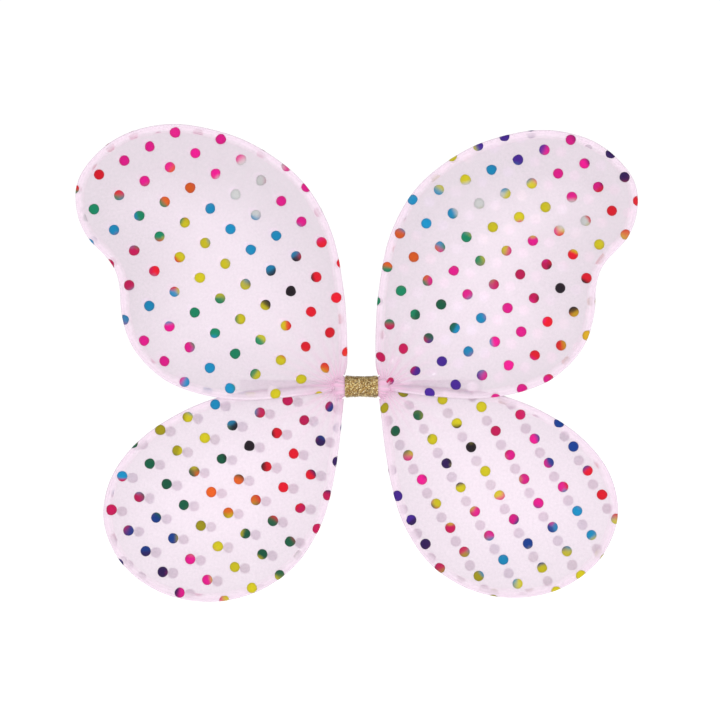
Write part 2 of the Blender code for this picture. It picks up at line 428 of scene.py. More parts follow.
def sheer_finish(name, tint, blush, cover, painted_shading):
    """Sheer cloth: painted lighter in the open middle and painted darker near the hem and towards the top,
    pink in the gathers, pale again on the folded hem.
    """
    finish = Finish(name, Roughness=0.6, Sheen_Weight=0.25, Sheen_Roughness=0.4,
                    Specular_IOR_Level=0.25)
    place = finish.place()
    inward = finish.attribute("inward_mm")
    gathered = finish.attribute("gathered")
    thinning = finish.attribute("thinning")
    weave = weave_of(finish, 0.55 * MM)
    cloudy = finish.noise(place, 16, 2.5)
    fine = finish.noise(place, 420, 2)

    # The cloth's own colour painted lighter for its middle and darker for near its hem
    middle, edge = ([min(1.0, c * tone) for c in tint] for tone in painted_shading)
    height = Signal(finish, finish.add("ShaderNodeSeparateXYZ", {}, {0: place}).outputs[2])
    # Painted shade: millimetres in from the hem, with a cloudy border that lies farther in towards the top,
    # so the cloth is painted darker near its hem and towards the top and lighter in its middle
    depth = finish.stretch(inward + cloudy * 34 - finish.stretch(height, 0.05, 0.2, 0, 34), 16, 80)
    colour = finish.mix(depth, edge, middle)
    on_hem = finish.stretch(inward + cloudy * 3, 8.2, 4.2)
    colour = finish.mix(on_hem * (0.9 - gathered), colour, HEM_TONE)
    seam = finish.stretch(inward, 5.3, 5.9) * finish.stretch(inward, 6.8, 6.1)
    colour = finish.mix(seam * 0.25, colour, blush)
    colour = finish.mix(gathered, colour, blush)
    colour = finish.mix(finish.stretch(fine, 0.35, 0.65, 0.0, 0.06), colour, blush)
    alpha = gathered * 0.3 + on_hem * 0.12 + (weave - 0.5) * 0.10 + (fine - 0.5) * 0.12 + cover
    wrinkle = finish.noise(place, 26, 5, 0.6) * 30
    rough = fine * 0.2 + 0.45
    return finish.feed(Base_Color=colour, Alpha=(alpha * (1 - thinning)).clamped(), Roughness=rough,
                       Normal=finish.bump(weave + fine + wrinkle, 0.3, 0.08 * MM))


def foil_finish(name):
    """Iridescent film over the cloth, whose threads print through it."""
    finish = Finish(name, Metallic=0.3, Specular_IOR_Level=0.12, Coat_Roughness=0.25)
    colour = finish.attribute("foil", "Color")
    rim = finish.attribute("rim")
    print_through = weave_of(finish, 0.7 * MM)
    crinkle = finish.noise(finish.place(), 900, 3)
    colour = finish.mix(finish.stretch(crinkle, 0.3, 0.7, 0.14, 0.0), colour, (0.02, 0.02, 0.02))
    # Painted shade: each dot darkens towards its rim
    colour = finish.mix((rim ** 4.0) * 0.30, colour, (0.05, 0.04, 0.05))
    colour = finish.mix(finish.stretch(print_through, 0.6, 1.0, 0.0, 0.025), colour, (1, 1, 1))
    rough = crinkle * 0.35 + 0.25
    coat = finish.stretch(crinkle, 0.42, 0.62, 0.0, 0.1)
    return finish.feed(Base_Color=colour, Roughness=rough, Coat_Weight=coat,
                       Normal=finish.bump(print_through * 0.6 + crinkle, 0.35, 0.1 * MM))


def underside_finish(name, kind):
    """The foil's bonded side, finely speckled, with a painted glow; the pale kind is the grey backing
    painted lighter, as lit from above.
    """
    backing, keep, painted_glow = UNDERSIDES[kind]
    finish = Finish(name, Specular_IOR_Level=0.3, Emission_Strength=painted_glow)
    crinkle = finish.noise(finish.place(), 900, 3)
    speckle = finish.stretch(crinkle, 0.35, 0.65, 0.0, 0.12)
    colour = finish.mix(speckle + keep, backing, finish.attribute("foil", "Color"))
    return finish.feed(Base_Color=colour, Emission_Color=colour, Roughness=crinkle * 0.2 + 0.5)


def glitter_finish(name, gold):
    """Packed glitter: every grain its own brightness and tilt."""
    finish = Finish(name, Metallic=0.55, Specular_IOR_Level=0.6)
    place = finish.place()
    grain = finish.add("ShaderNodeTexVoronoi", {}, {"Vector": place, "Scale": 1150.0})
    split = finish.add("ShaderNodeSeparateColor", {}, {0: Signal(finish, grain.outputs["Color"])})
    pick = Signal(finish, split.outputs[0])
    colour = finish.ramp(pick, [(0.0, srgb(92, 62, 26)), (0.35, srgb(140, 104, 46)), (0.7, gold),
                                (1.0, srgb(240, 226, 170))])
    rough = Signal(finish, split.outputs[1]) * 0.4 + 0.2
    height = Signal(finish, grain.outputs["Distance"])
    return finish.feed(Base_Color=colour, Roughness=rough,
                       Normal=finish.bump(height, 0.9, 0.4 * MM))


def flake_finish(name):
    finish = Finish(name, Metallic=0.6, Specular_IOR_Level=0.8)
    colour = finish.attribute("foil", "Color")
    speck = finish.noise(finish.place(), 1600, 2)
    colour = finish.mix(finish.stretch(speck, 0.35, 0.65, 0.0, 0.3), colour, srgb(250, 240, 200))
    return finish.feed(Base_Color=colour, Roughness=speck * 0.3 + 0.15)


def elastic_finish(name, ribs):
    """Knitted elastic: lengthwise ribs of covered rubber with fine crossing yarn."""
    # Painted light: the elastic glows white, so that it does not show grey where it is seen through the
    # cloth
    finish = Finish(name, Sheen_Weight=0.2, Specular_IOR_Level=0.25, Emission_Strength=0.2,
                    Emission_Color=(1, 1, 1, 1))
    flat = finish.out("ShaderNodeUVMap", {"uv_map": "flat"}, {})
    split = finish.add("ShaderNodeSeparateXYZ", {}, {0: flat})
    along = Signal(finish, split.outputs[0])
    across = Signal(finish, split.outputs[1])
    rib = (across * (2 * math.pi * ribs)).sine() * 0.5 + 0.5
    yarn = (along * (2 * math.pi / (0.9 * MM))).sine() * 0.5 + 0.5
    fuzz = finish.noise(finish.place(), 1300, 3)
    worn = finish.noise(finish.place(), 40, 2)
    knit = rib * 0.7 + yarn * 0.3
    colour = finish.ramp(knit * 0.8 + fuzz * 0.3, [(0.0, (0.62, 0.60, 0.63)), (0.6, (0.86, 0.84, 0.87)),
                                                   (1.0, (0.93, 0.92, 0.94))])
    colour = finish.mix(finish.stretch(worn, 0.45, 0.75, 0.0, 0.12), colour, (0.80, 0.76, 0.78))
    return finish.feed(Base_Color=colour, Roughness=fuzz * 0.2 + 0.65,
                       Normal=finish.bump(knit + fuzz * 0.4, 0.6, 0.3 * MM))


def coated_finish(name, colour, scale, gloss):
    """Thin plastic or tape, faintly mottled and scuffed."""
    finish = Finish(name, Specular_IOR_Level=0.45)
    mottle = finish.noise(finish.place(), scale, 4)
    scuff = finish.noise(finish.place(), scale * 6, 2)
    shade = [c * 0.86 for c in colour]
    tone = finish.mix(finish.stretch(mottle, 0.35, 0.7, 0.0, 0.7), colour, shade)
    return finish.feed(Base_Color=tone, Roughness=scuff * 0.25 + gloss,
                       Normal=finish.bump(scuff, 0.2, 0.05 * MM))


# Shapes


def smooth_path(points, steps=8):
    """A Catmull-Rom curve through all the points."""
    knots = [points[0] * 2 - points[1], *points, points[-1] * 2 - points[-2]]
    path = []
    for a, b, c, d in zip(knots, knots[1:], knots[2:], knots[3:]):
        for step in range(steps):
            t = step / steps
            path.append((b * 2 + (c - a) * t + (a * 2 - b * 5 + c * 4 - d) * t * t
                         + (b * 3 - a - c * 3 + d) * t ** 3) / 2)
    return path + [points[-1]]


def evenly_spaced(path, pitch):
    lengths = [(q - p).length for p, q in zip(path, path[1:])]
    count = max(2, round(sum(lengths) / pitch))
    step = sum(lengths) / count
    spaced, done, i = [path[0]], 0.0, 0
    for n in range(1, count):
        while done + lengths[i] < n * step:
            done += lengths[i]
            i += 1
        spaced.append(path[i].lerp(path[i + 1], (n * step - done) / lengths[i]))
    return spaced + [path[-1]]


def add_piece(name, mesh, slot, *materials):
    """A finished mesh as a piece of the object."""
    obj = bpy.data.objects.new(name, mesh)
    bpy.context.scene.collection.objects.link(obj)
    for material in materials:
        mesh.materials.append(material)
    return obj


def mesh_from(bm, name, smooth=True):
    mesh = bpy.data.meshes.new(name)
    bm.to_mesh(mesh)
    bm.free()
    if smooth:
        mesh.shade_smooth()
    return mesh


def lay_flat_map(mesh):
    """The UV map "flat" in metres, from each vertex's place on the uncut cloth."""
    flat = np.zeros(len(mesh.vertices) * 3, np.float32)
    mesh.attributes["cut"].data.foreach_get("vector", flat)
    corners = np.zeros(len(mesh.loops), np.int32)
    mesh.loops.foreach_get("vertex_index", corners)
    layer = mesh.uv_layers.new(name="flat")
    layer.data.foreach_set("uv", flat.reshape(-1, 3)[corners, :2].astype(np.float32).ravel())


class Wing:
    """One wing's edge, root and layers, read from the frame. Plane points are (x, z)."""

    def __init__(self, name):
        self.name = name
        self.side = SIDES[name.split("_")[0]]
        self.up = 1 if name.endswith("upper") else -1
        self.body = name + "_wing"
        joint = next(j for j in frame["joints"] if j["child"] == self.body)
        self.pivot = Vector((joint["pos_m"][0], joint["pos_m"][2]))
        front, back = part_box(name + "_front_panel"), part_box(name + "_back_panel")
        self.middle = (front[0].y + back[1].y) / 2
        self.edge = self._edge()

    def _edge(self):
        """The cloth's outer edge, from the band round the tip to the far side of the root."""
        loop = outline_of(self.name + "_front_panel")
        while ((loop[0] - self.pivot).length > ROOT_REACH
               or (loop[-1] - self.pivot).length < ROOT_REACH):
            loop.append(loop.pop(0))
        loop = [p for p in loop if (p - self.pivot).length > ROOT_REACH]
        if abs(loop[0].x) > abs(loop[-1].x):
            loop.reverse()
        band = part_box("glitter_band")[1]
        # The lower wings start clear of the band, so that they can sweep without rubbing it
        clear = Vector((-0.5, 0.7) if self.up > 0 else (0.4, 1.7)) * MM
        corner = Vector((self.side * (band.x + clear.x), self.up * (band.z + clear.y)))
        return evenly_spaced(smooth_path([corner, *loop]), 4 * MM)

    def outward(self, i, path):
        """The direction square to the edge, away from the cloth."""
        ahead = path[min(i + 1, len(path) - 1)] - path[max(i - 1, 0)]
        return Vector((-ahead.y, ahead.x)).normalized() * (self.side * self.up)

    def wire_line(self, inset):
        return [p - self.outward(i, self.edge) * inset for i, p in enumerate(self.edge)]

    def root_line(self, start, end):
        """The gathered end of the cloth, round the flex line from start to end."""
        bend = []
        for degrees, radius in ROOT_BEND:
            turn = math.radians(degrees)
            step = Vector((self.side * math.cos(turn), self.up * math.sin(turn)))
            bend.append(self.pivot + step * radius * MM)
        return evenly_spaced(smooth_path([start, *bend, end]), 0.9 * MM)


def outline_of(node):
    """A flat CAD node's outline as seen from the front, in order."""
    bm = bmesh.new()
    bm.from_mesh(frame["nodes"][node].data)
    bmesh.ops.remove_doubles(bm, verts=bm.verts, dist=0.01 * MM)
    bm.normal_update()
    hidden = [f for f in bm.faces if f.normal.y > -0.9]
    bmesh.ops.delete(bm, geom=hidden, context="FACES")
    edge = next(e for e in bm.edges if e.is_boundary)
    start, vert = edge.verts
    loop = [Vector((start.co.x, start.co.z))]
    while vert is not start:
        loop.append(Vector((vert.co.x, vert.co.z)))
        edge = next(e for e in vert.link_edges if e.is_boundary and e is not edge)
        vert = edge.other_vert(vert)
    bm.free()
    return loop


def distances(points, path):
    """How far each point is from the nearest stretch of the path."""
    p = np.array(points)[:, None, :]
    a = np.array(path[:-1])[None, :, :]
    d = np.array(path[1:])[None, :, :] - a
    t = np.clip(((p - a) * d).sum(2) / (d * d).sum(2), 0, 1)
    return np.sqrt((((a + d * t[:, :, None]) - p) ** 2).sum(2)).min(1)


def inside(points, polygon):
    """True for the points inside the polygon, by counting crossings."""
    p = np.array(points)[:, None, :]
    a = np.array(polygon)[None, :, :]
    b = np.roll(a, -1, axis=1)
    spans = (a[:, :, 1] > p[:, :, 1]) != (b[:, :, 1] > p[:, :, 1])
    with np.errstate(divide="ignore", invalid="ignore"):
        cross = a[:, :, 0] + (p[:, :, 1] - a[:, :, 1]) * (b - a)[:, :, 0] / (b - a)[:, :, 1]
    return ((spans & (p[:, :, 0] < cross)).sum(1) % 2).astype(bool)


def smoothstep(t):
    t = np.clip(t, 0, 1)
    return t * t * (3 - 2 * t)


class Cloth:
    """One face of a wing: its flat cut, its place on the wire and its gathers."""

    def __init__(self, wing, facing, settings):
        self.wing = wing
        self.facing = facing
        self.settings = settings
        self.sign = -1 if facing == "front" else 1
        # A face next to the other wing's layer lies flat, so that the two slide past each other
        self.outer = self.sign == -wing.up

    def spacing(self, reach):
        """The mesh's spacing, which is finer where the gathers need it."""
        return np.clip(0.07 * reach, 0.75 * MM, self.settings.pitch)

    def flat_place(self, point):
        """Where a point of the wing was on the uncut cloth, which is wider at the root."""
        wing = self.wing
        arm = point - wing.pivot
        reach = arm.length
        across = math.atan2(arm.y * wing.up, arm.x * wing.side)
        spread = 1 + 0.75 * math.exp(-max(0.0, reach - 5 * MM) / (15 * MM))
        middle = math.radians(38)
        turn = middle + (across - middle) * spread
        flat = Vector((math.cos(turn) * wing.side, math.sin(turn) * wing.up)) * reach
        return wing.pivot + flat

    def fold(self, point):
        """The gathers' height from 0 in a valley to 1 on a ridge."""
        arm = point - self.wing.pivot
        across = math.atan2(arm.y * self.wing.up, arm.x * self.wing.side)
        wander = 1.3 * math.sin(5.3 * across + self.wing.middle * 900) + 9 * arm.length
        return 0.5 + 0.5 * math.sin(27 * across + wander + 2 * self.wing.side)

    def height(self, point, inward):
        """Distance from the wing's middle plane."""
        reach = (point - self.wing.pivot).length
        held = min(1.0, inward / (7 * MM))
        depth = self.settings.pleat if self.outer else 0.4 * self.settings.pleat
        # The gathers die out within a few centimetres, and a faint ripple runs on
        fade = math.exp(-max(0.0, reach - 5 * MM) / (13 * MM)) + 0.16 * math.exp(-reach / (70 * MM))
        pleat = depth * fade * self.fold(point) * max(held, 0.35 if reach < 12 * MM else 0)
        billow = self.settings.billow * (1 if self.outer else 0.08)
        stand = billow * float(smoothstep(inward / (55 * MM)))
        spot = Vector((point.x, point.y, self.wing.middle))
        rumple = 0.5 * noise.noise(spot * 28) + 0.4 * noise.noise(spot * 130) * math.exp(
            -max(0.0, inward - 6 * MM) / (12 * MM))
        return self.settings.roll + stand + pleat + (rumple * MM * held if self.outer else 0)

    def field(self):
        """The face inside the wire, as a mesh with its cut, gathers and edge distance."""
        wing = self.wing
        rim = wing.wire_line(WIRE_INSET)
        root = wing.root_line(rim[-1], rim[0])[1:-1]
        polygon = rim + root
        points = []
        reach = 5 * MM
        while reach < WING_REACH:
            gap = self.spacing(reach)
            reach += gap
            count = max(6, round(2 * math.pi * reach / gap))
            twist = reach * 211.0
            for i in range(count):
                turn = 2 * math.pi * (i + twist) / count
                points.append(wing.pivot + Vector((math.cos(turn), math.sin(turn))) * reach)
        held = inside(points, polygon)
        away = distances(points, polygon + [polygon[0]])
        near = np.array([(p - wing.pivot).length for p in points])
        held &= away > 0.5 * self.spacing(near)
        points = polygon + [p for p, keep in zip(points, held) if keep]
        ring = [(i, (i + 1) % len(polygon)) for i in range(len(polygon))]
        # Scaled up, because the triangulation's tolerances are absolute
        scaled = [p * 100 for p in points]
        verts, _, faces, _, _, _ = delaunay_2d_cdt(scaled, ring, [], 1, 1e-6)
        verts = [v / 100 for v in verts]
        inward = distances(verts, rim)

        bm = bmesh.new()
        cut = bm.verts.layers.float_vector.new("cut")
        depth = bm.verts.layers.float.new("inward_mm")
        gathered = bm.verts.layers.float.new("gathered")
        on_rim = bm.verts.layers.float.new("on_rim")
        bm.verts.layers.float.new("thinning")
        made = []
        for p, away in zip(verts, inward):
            v = bm.verts.new((p.x, wing.middle + self.sign * self.height(p, away), p.y))
            flat = self.flat_place(p)
            v[cut] = (flat.x, flat.y, 0)
            v[depth] = away * 1000
            reach = (p - wing.pivot).length
            near = math.exp(-max(0.0, reach - 6 * MM) / (11 * MM))
            streak = math.exp(-max(0.0, reach - 6 * MM) / (26 * MM)) * (1 - self.fold(p)) ** 2
            v[gathered] = min(1.0, 0.6 * near + 0.75 * streak)
            v[on_rim] = 1.0 if away < 0.01 * MM else 0.0
            made.append(v)
        for face in faces:
            bm.faces.new([made[i] for i in face])
        bmesh.ops.recalc_face_normals(bm, faces=bm.faces)
        if sum(f.normal.y for f in bm.faces) * self.sign < 0:
            bmesh.ops.reverse_faces(bm, faces=bm.faces)
        return bm

    def settled(self, mesh):
        """The face after its cloth has pulled taut between the wire and the root."""
        obj = bpy.data.objects.new("settling", mesh)
        bpy.context.scene.collection.objects.link(obj)
        held = obj.vertex_groups.new(name="held")
        bm = bmesh.new()
        bm.from_mesh(mesh)
        held.add([v.index for v in bm.verts if v.is_boundary], 1.0, "ADD")
        bm.free()
        cloth = obj.modifiers.new("cloth", "CLOTH")
        cloth.settings.vertex_group_mass = "held"
        for name, value in CLOTH_FEEL.items():
            setattr(cloth.settings, name, value)
        cloth.settings.effector_weights.gravity = SETTLING_GRAVITY
        cloth.collision_settings.use_collision = False
        cloth.collision_settings.use_self_collision = False
        cloth.point_cache.frame_start = 1
        cloth.point_cache.frame_end = self.settings.steps
        for step in range(1, self.settings.steps + 1):
            bpy.context.scene.frame_set(step)
        smooth = obj.modifiers.new("smooth", "SUBSURF")
        smooth.levels = smooth.render_levels = 1
        smooth.boundary_smooth = "PRESERVE_CORNERS"
        bpy.context.view_layer.update()
        seen = bpy.context.evaluated_depsgraph_get()
        final = bpy.data.meshes.new_from_object(obj.evaluated_get(seen), depsgraph=seen)
        bpy.data.objects.remove(obj)
        bpy.context.scene.frame_set(1)
        return final

    def hemmed(self, mesh):
        """The face with its edge rolled round the wire and turned in, or laid on the turn-in."""
        wing, sign = self.wing, self.sign
        bm = bmesh.new()
        bm.from_mesh(mesh)
        cut = bm.verts.layers.float_vector["cut"]
        depth = bm.verts.layers.float["inward_mm"]
        on_rim = bm.verts.layers.float["on_rim"]
        thinning = bm.verts.layers.float["thinning"]
        edges = [e for e in bm.edges if e.is_boundary and min(v[on_rim] for v in e.verts) > 0.4]
        line = wing.wire_line(WIRE_INSET)
        roll = self.settings.roll
        if self.facing == "front":
            wrap = [(roll * math.cos(a), -roll * math.sin(a))
                    for a in (math.radians(d) for d in (50, 10, -35, -90))]
            lay = [(-self.settings.turn_in * t, roll * (1 - 0.12 * t)) for t in (0.34, 0.67, 1.0)]
            stations = wrap + lay
        else:
            stations = [(0.35 * roll, 1.12 * roll), (0.75 * roll, 0.8 * roll)]
        way = (0.0, -roll if self.facing == "front" else roll)
        gone = 0.0
        for station in stations:
            gone += math.hypot(station[0] - way[0], station[1] - way[1])
            grown = bmesh.ops.extrude_edge_only(bm, edges=edges)["geom"]
            edges = [g for g in grown if isinstance(g, bmesh.types.BMEdge)]
            for v in [g for g in grown if isinstance(g, bmesh.types.BMVert)]:
                base, out = self._rim_of(v, line, way)
                v.co = (base.x + out.x * station[0], wing.middle + station[1],
                        base.y + out.y * station[0])
                flat = self.flat_place(base)
                v[cut] = (flat.x + out.x * gone, flat.y + out.y * gone, 0)
                v[depth] = max(0.0, -station[0] * 1000)
                v[thinning] = max(0.0, -station[0] / self.settings.turn_in) ** 2
            way = station
        bmesh.ops.recalc_face_normals(bm, faces=bm.faces)
        open_faces = [f for f in bm.faces if min(v[depth] for v in f.verts) > 20]
        if sum(f.normal.y for f in open_faces) * sign < 0:
            bmesh.ops.reverse_faces(bm, faces=bm.faces)
        return mesh_from(bm, wing.name + "_" + self.facing)

    def _rim_of(self, vert, line, way):
        """The wire-line point that a hem vertex grew from, and the way out of the cloth there."""
        here = Vector((vert.co.x, vert.co.z))
        i = min(range(len(line)), key=lambda n: (line[n] - here).length_squared)
        out = self.wing.outward(i, line)
        return here - out * way[0], out


def add_fabric(wing, facing, settings, material):
    cloth = Cloth(wing, facing, settings)
    bm = cloth.field()
    mesh = cloth.hemmed(cloth.settled(mesh_from(bm, "field")))
    lay_flat_map(mesh)
    obj = add_piece(f"{wing.name}_{facing}_fabric", mesh, "sheer_fabric", material)
    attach(obj, wing.body)
    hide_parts(f"{wing.name}_{facing}_panel")
    return obj


def flat_area(mesh):
    """The area of the uncut cloth, and its width and length."""
    cut = np.zeros(len(mesh.vertices) * 3, np.float32)
    mesh.attributes["cut"].data.foreach_get("vector", cut)
    cut = cut.reshape(-1, 3)[:, :2].astype(float)
    mesh.calc_loop_triangles()
    corners = np.array([t.vertices for t in mesh.loop_triangles])
    a, b, c = (cut[corners[:, i]] for i in range(3))
    cross = (b - a)[:, 0] * (c - a)[:, 1] - (b - a)[:, 1] * (c - a)[:, 0]
    return np.abs(cross).sum() / 2, cut.max(0) - cut.min(0)


# Foil dots


def foil_colour(wing, point):
    """What the foil flashes at a point of the cloth: the nearest pool's colour, melting at its edge."""
    total = Vector((0, 0, 0))
    share = 0.0
    for name, out, up in FOIL_POOLS[wing.name]:
        away = (Vector((wing.side * out, up)) * MM - point).length + 1.5 * MM
        weight = away ** -9
        total += Vector(FOIL[name]) * weight
        share += weight
    return total / share


class DotPress:
    """Presses foil dots on to a finished face of a wing, by their places on the uncut cloth."""

    def __init__(self, cloth_obj, wing, facing):
        mesh = cloth_obj.data
        self.wing = wing
        self.facing = facing
        mesh.calc_loop_triangles()
        cut = np.zeros(len(mesh.vertices) * 3, np.float32)
        mesh.attributes["cut"].data.foreach_get("vector", cut)
        cut = cut.reshape(-1, 3)
        self.cut = [Vector((float(x), float(y), 0)) for x, y, _ in cut]
        self.co = [v.co.copy() for v in mesh.vertices]
        self.normal = [v.normal.copy() for v in mesh.vertices]
        self.tris = [tuple(t.vertices) for t in mesh.loop_triangles]
        self.tree = BVHTree.FromPolygons(self.cut, self.tris)

    def press(self, flat, lift):
        """The place on the finished cloth of a point of the cut, raised by lift, and how far off it is."""
        spot = Vector((flat.x, flat.y, 0))
        found, _, index, away = self.tree.find_nearest(spot)
        corners = self.tris[index]
        source = [self.cut[i] for i in corners]
        at = barycentric_transform(found, *source, *[self.co[i] for i in corners])
        normal = barycentric_transform(found, *source, *[self.normal[i] for i in corners])
        return at + normal.normalized() * lift, away

    def lattice(self):
        """The dots' centres on the cut."""
        start, first, second, shift = LATTICES[self.wing.name]
        scale = Vector((self.wing.side, 1)) * MM
        start, first, second, shift = (
            Vector((p[0] * scale.x, p[1] * scale.y)) for p in (start, first, second, shift))
        if self.facing == "back":
            start = start + shift
        steps = range(-LATTICE_STEPS, LATTICE_STEPS + 1)
        for i in steps:
            for j in steps:
                yield start + first * i + second * j


def coin(bm, radius, sides, rings):
    """A flat dot with rings inside its edge and a point in the middle; its vertices and faces."""
    made = bmesh.ops.create_circle(bm, cap_ends=True, segments=sides, radius=radius)
    face = made["verts"][0].link_faces[0]
    faces = []
    for _ in range(rings):
        faces += bmesh.ops.inset_individual(bm, faces=[face], thickness=0.8 * radius / rings)["faces"]
    faces += bmesh.ops.poke(bm, faces=[face])["faces"]
    return {v for f in faces for v in f.verts}, faces


def add_dots(cloth_obj, wing, facing, settings, show, under):
    """All the dots of one face: thin film with its show side outwards and its bonded side inwards."""
    press = DotPress(cloth_obj, wing, facing)
    chance = random.Random(f"{wing.name} {facing}")
    rim = wing.wire_line(WIRE_INSET)
    bm = bmesh.new()
    colour_layer = bm.verts.layers.float_color.new("foil")
    rim_layer = bm.verts.layers.float.new("rim")
    cut_layer = bm.verts.layers.float_vector.new("cut")
    for centre in press.lattice():
        spot, away = press.press(centre, 0)
        if away > 0.8 * settings.radius:
            continue
        if facing == "back" and (spot.xz - wing.pivot).length < BARE_ROOT:
            continue
        # A dot that wraps round the hem bends more, so it has more rings
        wraps = distances([spot.xz], rim)[0] < 2.4 * settings.radius
        bright = chance.uniform(0.74, 1.0)
        glint = centre + Vector((chance.uniform(-6, 6), chance.uniform(-6, 6))) * MM
        radius = settings.radius * chance.uniform(0.98, 1.03)
        for side, lift in enumerate((settings.film, 0.02 * MM)):
            verts, faces = coin(bm, radius, settings.sides, 6 if wraps else 1)
            for v in verts:
                out = v.co.xy
                flat = centre + out
                v[rim_layer] = min(1.0, out.length / radius)
                v[cut_layer] = (flat.x, flat.y, 0)
                v[colour_layer] = (*(foil_colour(wing, glint + out * DOT_TURN) * bright), 1)
                v.co = press.press(flat, lift)[0]
            for f in faces:
                f.material_index = side
            if (side == 1) == (facing == "front"):
                bmesh.ops.reverse_faces(bm, faces=faces)
    mesh = mesh_from(bm, f"{wing.name}_{facing}_dots")
    lay_flat_map(mesh)
    obj = add_piece(mesh.name, mesh, "sheer_fabric", show, under)
    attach(obj, wing.body)
    return obj


# Hem, gathers, band and straps


def add_hem(wing, material):
    """The cloth casing shrunk on to the wire, a little uneven as if rolled by hand."""
    curve = bpy.data.curves.new("hem", "CURVE")
    curve.dimensions = "3D"
    curve.bevel_depth = 1.05 * MM
    curve.bevel_resolution = 2
    curve.use_fill_caps = True
    path = wing.wire_line(WIRE_INSET)[1:-1]
    spline = curve.splines.new("POLY")
    spline.points.add(len(path) - 1)
    for i, (point, place) in enumerate(zip(spline.points, path)):
        point.co = (place.x, wing.middle, place.y, 1)
        point.radius = 1 + 0.10 * noise.noise(Vector((i * 0.35, wing.middle * 1000, 0)))
    rolled = bpy.data.objects.new("hem", curve)
    bpy.context.scene.collection.objects.link(rolled)
    seen = bpy.context.evaluated_depsgraph_get()
    mesh = bpy.data.meshes.new_from_object(rolled.evaluated_get(seen), depsgraph=seen)
    bpy.data.objects.remove(rolled)
    mesh.materials.clear()
    mesh.shade_smooth()
    obj = add_piece(wing.name + "_hem_casing", mesh, "hem", material)
    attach(obj, wing.body)
    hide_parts(wing.name + "_hem")
    return obj


def add_neck(name, side, material):
    """The pleated cloth fanning out of the band round the roots of the wings."""
    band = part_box("glitter_band")
    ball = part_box(name + "_neck")
    middle_y = (ball[0].y + ball[1].y) / 2
    start, reach, cloth_radius = band[1].x - 1.5 * MM, 15 * MM, 12 * MM
    bm = bmesh.new()
    bmesh.ops.create_cone(bm, segments=160, radius1=1, radius2=1, depth=2,
                          matrix=Matrix.Rotation(math.pi / 2, 4, "Y"))
    ribs = [e for e in bm.edges if abs(e.verts[0].co.x - e.verts[1].co.x) > 1]
    bmesh.ops.subdivide_edges(bm, edges=ribs, cuts=11, use_grid_fill=True)
    cut = bm.verts.layers.float_vector.new("cut")
    depth = bm.verts.layers.float.new("inward_mm")
    gathered = bm.verts.layers.float.new("gathered")
    thin = bm.verts.layers.float.new("thinning")
    for v in bm.verts:
        t = min(1.0, max(0.0, (v.co.x + 1) / 2))
        around = math.atan2(v.co.z, v.co.y)
        # Seventeen uneven pleats
        pleat = math.sin(17 * around + 2.6 * math.sin(3 * around + side) + 1.4 * t)
        tall = NECK_HEIGHT + NECK_SPREAD * t
        ridge = 1 + (0.045 + 0.02 * t) * pleat
        # The fan's ends stand further back above and below than in line with the band
        ahead = reach * t * (1 - 0.45 * math.sin(around) ** 2 * t)
        v[cut] = (side * ahead, around * cloth_radius, 0)
        v[depth] = 30
        v[gathered] = min(1.0, 1.0 - 0.3 * t - 0.35 * pleat)
        # The cloth thins to nothing at its far end, and sooner above and below
        v[thin] = float(max(smoothstep(1.4 * t - 0.8 + 0.9 * abs(math.sin(around)) + 0.12 * pleat),
                            smoothstep(2.4 * t - 1.4 + 0.15 * pleat)))
        v.co = (side * (start + ahead), middle_y + NECK_HALF_DEPTH * ridge * math.cos(around),
                tall * ridge * math.sin(around))
    if side < 0:
        bmesh.ops.reverse_faces(bm, faces=bm.faces)
    mesh = mesh_from(bm, name + "_neck_gathers")
    lay_flat_map(mesh)
    obj = add_piece(mesh.name, mesh, "sheer_fabric", material)
    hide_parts(name + "_neck")
    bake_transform(obj, "centre", name + "_root", start=(side * (start + 1 * MM), 0, 0),
             end=(side * (start + 7 * MM), 0, 0))
    return obj, (reach, 2 * math.pi * cloth_radius)


def band_section(box, x, around, swell=0.0):
    """A point on the glitter band's outside, waisted in the middle."""
    low, high = box
    along = x / high.x
    tall = high.z * (0.925 + 0.075 * along * along) + swell
    deep = (high.y - low.y) / 2 + swell
    c, s = math.cos(around), math.sin(around)
    # Its ends are drawn in above and below, and its section is a rounded oblong
    x *= 0.985 - 0.06 * s ** 6
    z = tall * math.copysign(abs(s) ** 0.7, s)
    y = (low.y + high.y) / 2 - deep * math.copysign(abs(c) ** 0.7, c)
    return Vector((x, y, z))


